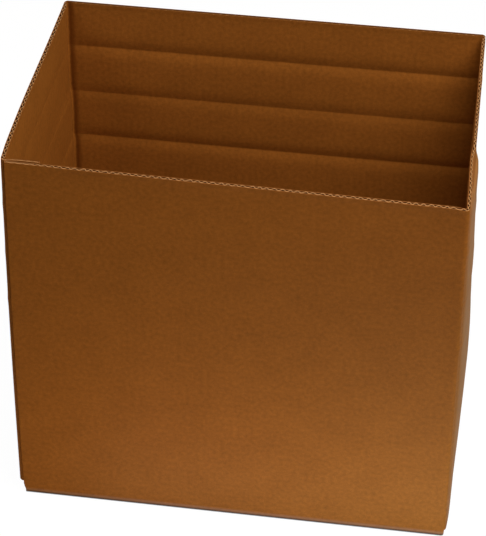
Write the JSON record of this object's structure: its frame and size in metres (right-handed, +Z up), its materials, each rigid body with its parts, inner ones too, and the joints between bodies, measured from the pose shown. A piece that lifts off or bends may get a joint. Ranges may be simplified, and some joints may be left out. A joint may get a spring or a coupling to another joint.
{
  "type": "open cardboard box",
  "caption": "Open corrugated carton with bare cut rims, one glued upright corner, score lines inside its walls and a closed folded bottom, for packing and carrying goods",
  "frame": {"origin": "middle of the base, on the surface that the carton stands on", "axes": "+Z up through the open top, the front wall faces -Y, +X runs to the right along the wide walls"},
  "size_m": [0.47, 0.326, 0.44],
  "materials": {
    "kraft_board": "matte brown kraft liner"
  },
  "bodies": {
    "root": {"carton": "kraft_board"}
  },
  "joints": []
}
